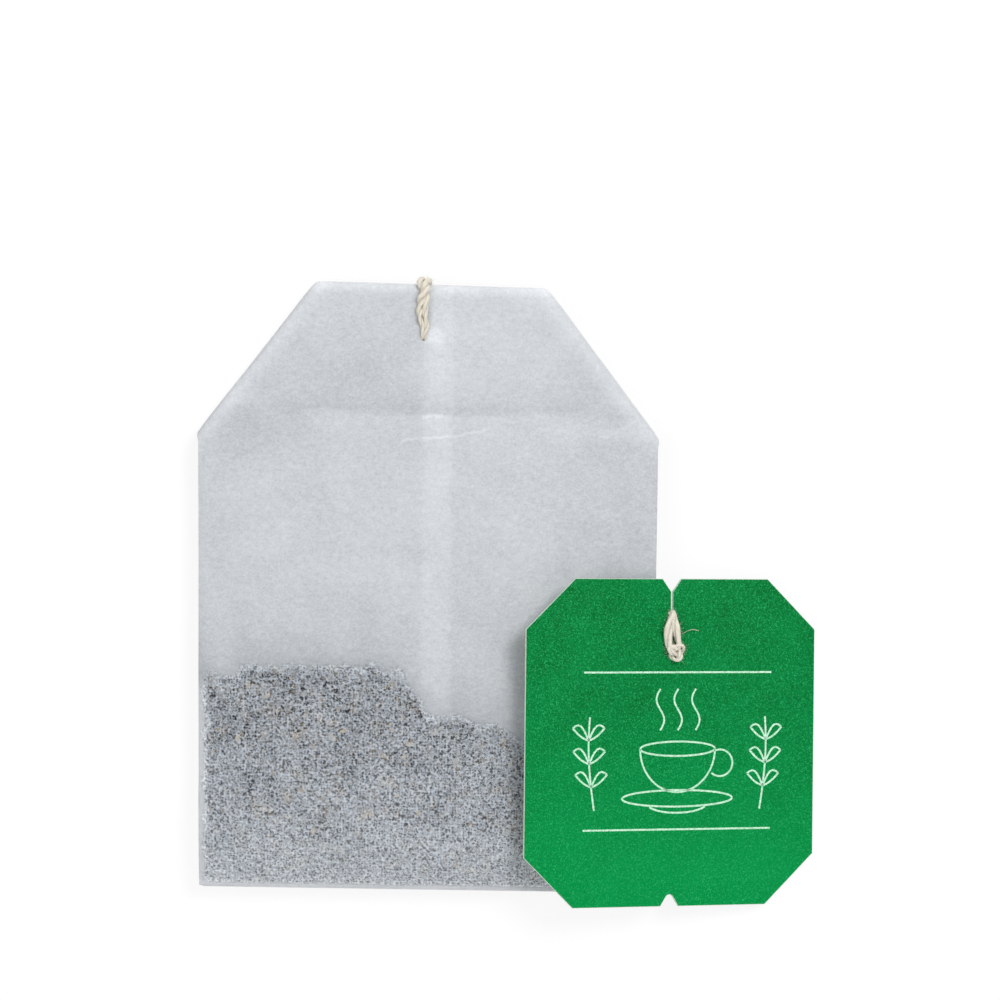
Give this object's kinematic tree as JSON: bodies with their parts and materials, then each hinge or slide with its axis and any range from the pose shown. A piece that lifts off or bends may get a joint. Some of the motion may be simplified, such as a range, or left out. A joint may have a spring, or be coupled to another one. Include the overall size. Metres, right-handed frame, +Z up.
{
  "type": "tea bag",
  "caption": "Double-chamber filter-paper tea bag with slanted corners, a string stitched through its head and a green card tag with clipped corners.",
  "frame": {"origin": "under the middle of the box around the bag and its tag, on the surface that the bag lies on", "axes": "+Z up from the surface the bag lies on, +Y towards the stitched head, +X towards the side where the tag lies"},
  "size_m": [0.0607, 0.0613, 0.0078],
  "materials": {
    "filter_paper": "matte",
    "tea_leaf": "matte",
    "tag_card": "matte",
    "cotton_string": "matte"
  },
  "bodies": {
    "root": {"filter_bag": "filter_paper", "tea_front": "tea_leaf", "tea_back": "tea_leaf", "tag": "tag_card", "head_loop": "cotton_string", "tag_loop": "cotton_string", "string_head_run": "cotton_string", "string_coil": "cotton_string", "string_tag_run": "cotton_string"}
  },
  "joints": []
}
